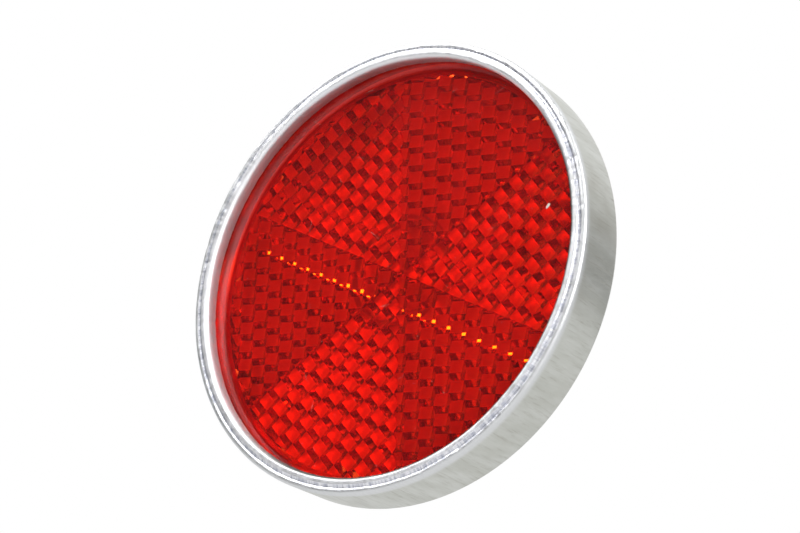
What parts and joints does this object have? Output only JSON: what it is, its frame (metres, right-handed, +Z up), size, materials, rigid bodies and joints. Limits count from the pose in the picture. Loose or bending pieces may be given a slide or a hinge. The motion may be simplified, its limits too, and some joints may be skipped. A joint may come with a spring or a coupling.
{
  "type": "round rear reflector",
  "caption": "Round red prism reflector lens held in a pressed aluminium cup with a crimped lip, fixed by a threaded stud, washers and nut at its back.",
  "frame": {"origin": "centre of the cup's flat fixing boss, where the stud comes out of the back", "axes": "+Y along the stud, away from the lens, so the lens faces -Y; +Z is up as the reflector is fixed to a cycle, +X is to the right seen from behind the cycle"},
  "size_m": [0.06, 0.0262, 0.06],
  "materials": {
    "cup_aluminium": "bright drawn aluminium, polished on the crimped lip and matt on the wall",
    "red_lens": "clear red acrylic, smooth face, moulded prisms behind",
    "plated_steel": "bright zinc plating",
    "washer_steel": "zinc plated, stamped edge",
    "spring_steel": "zinc plated spring steel"
  },
  "bodies": {
    "root": {"shell": "cup_aluminium", "lens": "red_lens", "stud": "plated_steel", "plain_washer": "washer_steel", "spring_washer": "spring_steel", "nut": "plated_steel"}
  },
  "joints": []
}
